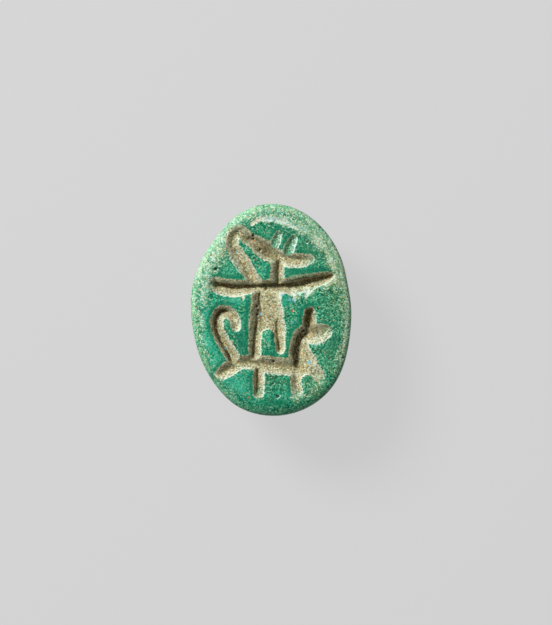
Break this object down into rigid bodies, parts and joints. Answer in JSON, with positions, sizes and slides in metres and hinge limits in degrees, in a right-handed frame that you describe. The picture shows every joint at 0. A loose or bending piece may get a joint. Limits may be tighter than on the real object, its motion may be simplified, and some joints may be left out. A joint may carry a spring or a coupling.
{
  "type": "scarab amulet",
  "caption": "Small glazed scarab bead-seal lying on its back, its oval base carved in sunk relief with a winged god standing on a lion.",
  "frame": {"origin": "middle of the small worn flat on the beetle's back, which the amulet lies on; the carved base faces up", "axes": "+Z out of the carved base, +Y towards the beetle's head and the top of the carved scene, +X to the right as the scene is seen"},
  "size_m": [0.0121, 0.0161, 0.0071],
  "materials": {
    "green_faience": "worn blue-green glaze with pinholes over a pale granular body, a satin sheen, and tan earth left in the carving"
  },
  "bodies": {
    "root": {"scarab": "green_faience"}
  },
  "joints": []
}
